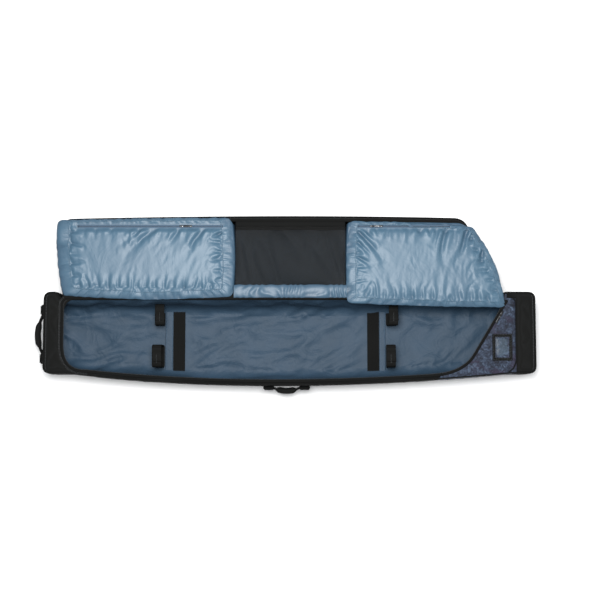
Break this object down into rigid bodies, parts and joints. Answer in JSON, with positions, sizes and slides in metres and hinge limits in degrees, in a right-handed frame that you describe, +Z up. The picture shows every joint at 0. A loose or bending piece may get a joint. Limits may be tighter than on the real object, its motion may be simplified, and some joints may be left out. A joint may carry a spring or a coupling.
{
  "type": "ski roller bag",
  "caption": "Long padded ski roller bag lying open, with a fold-back lid, stuffed zip pouches, mesh pocket, ski straps, webbing handles and end wheels.",
  "frame": {"origin": "on the floor, under the middle of the skid plate", "axes": "+X along the bag to the wheel end, +Y towards the opened lid, +Z up"},
  "size_m": [2.0058, 0.7012, 0.1573],
  "materials": {
    "shell_fabric": "matte woven polyester",
    "print_fabric": "matte woven polyester with a marbled slate-blue print",
    "lining_fabric": "smooth coated nylon with a soft sheen",
    "pouch_fabric": "light ripstop nylon with a soft sheen",
    "webbing": "ribbed polyester webbing",
    "pocket_mesh": "fine knitted mesh",
    "zip_tape": "woven tape with a nylon coil",
    "moulded_plastic": "fine moulded texture",
    "wheel_rubber": "satin tread",
    "steel": "brushed",
    "slider_metal": "satin black enamel",
    "clear_window": "clear glossy sheet"
  },
  "bodies": {
    "tub": {"base_panel": "shell_fabric", "left_end_wall": "shell_fabric", "right_end_wall": "shell_fabric", "near_wall": "shell_fabric", "far_wall": "shell_fabric", "left_cap_top": "shell_fabric", "right_cap_top": "shell_fabric", "near_wall_print": "print_fabric", "print_panel": "print_fabric", "floor_lining": "lining_fabric", "wall_lining": "lining_fabric", "floor_strip_1": "pouch_fabric", "floor_strip_2": "pouch_fabric", "near_gusset": "webbing", "hinge_tape": "webbing", "floor_band_1": "webbing", "floor_band_2": "webbing", "ski_strap_1": "webbing", "ski_strap_2": "webbing", "ski_strap_3": "webbing", "ski_strap_4": "webbing", "end_handle_patch_1": "webbing", "end_handle_patch_2": "webbing", "side_handle_patch_1": "webbing", "side_handle_patch_2": "webbing", "tag_frame": "webbing", "skid_plate": "moulded_plastic", "wheel_housing": "moulded_plastic", "near_wheel_axle": "steel", "far_wheel_axle": "steel", "tag_window": "clear_window"},
    "lid": {"lid_panel": "shell_fabric", "lid_lining": "lining_fabric", "lid_hinge_wall": "shell_fabric", "lid_left_wall": "shell_fabric", "lid_free_wall": "shell_fabric", "lid_slanted_wall": "print_fabric", "lid_zip_gusset": "webbing", "left_pouch": "pouch_fabric", "right_pouch": "pouch_fabric", "gathered_strip": "pouch_fabric", "mesh_panel": "pocket_mesh", "mesh_hem": "webbing", "left_pouch_zip": "zip_tape", "right_pouch_zip": "zip_tape"},
    "end_handle": {"end_handle": "webbing"},
    "side_handle": {"side_handle": "webbing"},
    "near_wheel": {"near_wheel_tyre": "wheel_rubber", "near_wheel_hub": "moulded_plastic"},
    "far_wheel": {"far_wheel_tyre": "wheel_rubber", "far_wheel_hub": "moulded_plastic"},
    "left_pouch_slider": {"left_pouch_slider": "slider_metal"},
    "left_pouch_puller": {"left_pouch_puller": "webbing"},
    "right_pouch_slider": {"right_pouch_slider": "slider_metal"},
    "right_pouch_puller": {"right_pouch_puller": "webbing"},
    "main_slider": {"main_slider": "slider_metal"},
    "main_puller": {"main_puller": "webbing"}
  },
  "joints": [
    {"name": "lid_hinge", "type": "hinge", "parent": "tub", "child": "lid", "pos_m": [0, 0.142, 0.151], "axis": [1, 0, 0], "range_deg": [0, 180]},
    {"name": "near_wheel_spin", "type": "hinge", "parent": "tub", "child": "near_wheel", "pos_m": [0.939, -0.11, 0.041], "axis": [0, 1, 0], "continuous": true},
    {"name": "far_wheel_spin", "type": "hinge", "parent": "tub", "child": "far_wheel", "pos_m": [0.939, 0.11, 0.041], "axis": [0, 1, 0], "continuous": true},
    {"name": "end_handle_swing", "type": "hinge", "parent": "tub", "child": "end_handle", "pos_m": [-1.0003, -0.004, 0.082], "axis": [0, 1, 0], "range_deg": [-60, 60]},
    {"name": "side_handle_swing", "type": "hinge", "parent": "tub", "child": "side_handle", "pos_m": [-0.012, -0.2212, 0.082], "axis": [-1, 0, 0], "range_deg": [-60, 60]},
    {"name": "left_pouch_zip_slide", "type": "slide", "parent": "lid", "child": "left_pouch_slider", "axis": [1, 0, 0], "range_m": [-0.4, 0.16]},
    {"name": "left_pouch_puller_swing", "type": "hinge", "parent": "left_pouch_slider", "child": "left_pouch_puller", "pos_m": [-0.424, 0.426, 0.1532], "axis": [0, -1, 0], "range_deg": [0, 90]},
    {"name": "right_pouch_zip_slide", "type": "slide", "parent": "lid", "child": "right_pouch_slider", "axis": [1, 0, 0], "range_m": [-0.04, 0.28]},
    {"name": "right_pouch_puller_swing", "type": "hinge", "parent": "right_pouch_slider", "child": "right_pouch_puller", "pos_m": [0.34, 0.426, 0.1532], "axis": [0, -1, 0], "range_deg": [0, 90]},
    {"name": "main_zip_slide", "type": "slide", "parent": "tub", "child": "main_slider", "axis": [-0.5186, -0.855, 0], "range_m": [0, 0.14]},
    {"name": "main_puller_swing", "type": "hinge", "parent": "main_slider", "child": "main_puller", "pos_m": [0.84226, 0.0687, 0.1538], "axis": [-0.855, 0.5186, 0], "range_deg": [0, 90]}
  ]
}
